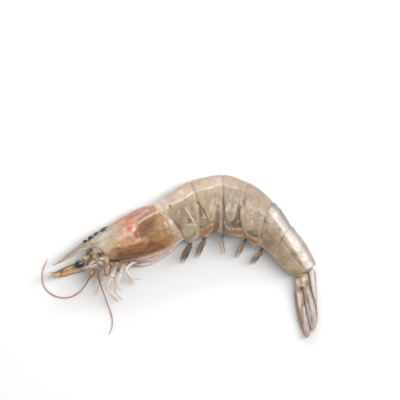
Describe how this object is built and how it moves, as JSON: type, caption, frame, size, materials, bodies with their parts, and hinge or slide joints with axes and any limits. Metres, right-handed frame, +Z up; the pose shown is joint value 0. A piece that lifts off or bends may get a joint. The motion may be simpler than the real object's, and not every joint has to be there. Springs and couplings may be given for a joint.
{
  "type": "raw whole prawn",
  "caption": "Raw whole prawn, head and shell on, lying on its side with arched abdomen, toothed rostrum, thin legs, swimmerets, feelers and a half closed tail fan",
  "frame": {"origin": "centre of the bounding box, on the plane the prawn lies on", "axes": "+X from the head end to the tail end, +Y towards the arch of the back, +Z up, out of the left side of the animal"},
  "size_m": [0.1246, 0.073, 0.0168],
  "materials": {
    "head_shell": "wet translucent shell, brown to orange with a pink back",
    "abdomen_shell": "wet translucent grey-beige shell with fine dark specks",
    "head_flesh": "wet grey-brown flesh",
    "horn": "thin tan horny plates",
    "eye": "glossy blue-black",
    "antenna": "thin red feelers",
    "leg": "cream to pale pink, brown at the root",
    "swimmeret": "brown-grey, pale edges",
    "tail_base": "pale beige shell",
    "tail_fan": "pale lilac-grey blades with tan ribs"
  },
  "bodies": {
    "root": {"abdomen_1": "abdomen_shell", "abdomen_2": "abdomen_shell", "abdomen_3": "abdomen_shell", "abdomen_4": "abdomen_shell", "abdomen_5": "abdomen_shell", "abdomen_6": "abdomen_shell", "antenna_left": "antenna", "antenna_right": "antenna", "antennal_scale_left": "horn", "antennal_scale_right": "horn", "antennule_left": "horn", "antennule_right": "horn", "carapace": "head_shell", "eye_left": "eye", "eye_right": "eye", "eyestalk_left": "head_flesh", "eyestalk_right": "head_flesh", "head_front": "head_flesh", "leg_left_1": "leg", "leg_left_2": "leg", "leg_left_3": "leg", "leg_left_4": "leg", "leg_left_5": "leg", "leg_right_1": "leg", "leg_right_2": "leg", "leg_right_3": "leg", "leg_right_4": "leg", "leg_right_5": "leg", "mouth_limb_left": "head_flesh", "mouth_limb_right": "head_flesh", "swimmeret_left_1": "swimmeret", "swimmeret_left_2": "swimmeret", "swimmeret_left_3": "swimmeret", "swimmeret_left_4": "swimmeret", "swimmeret_left_5": "swimmeret", "swimmeret_right_1": "swimmeret", "swimmeret_right_2": "swimmeret", "swimmeret_right_3": "swimmeret", "swimmeret_right_4": "swimmeret", "swimmeret_right_5": "swimmeret", "telson": "tail_fan", "uropod_base_left": "tail_base", "uropod_base_right": "tail_base", "uropod_inner_left": "tail_fan", "uropod_inner_right": "tail_fan", "uropod_outer_left": "tail_fan", "uropod_outer_right": "tail_fan"}
  },
  "joints": []
}
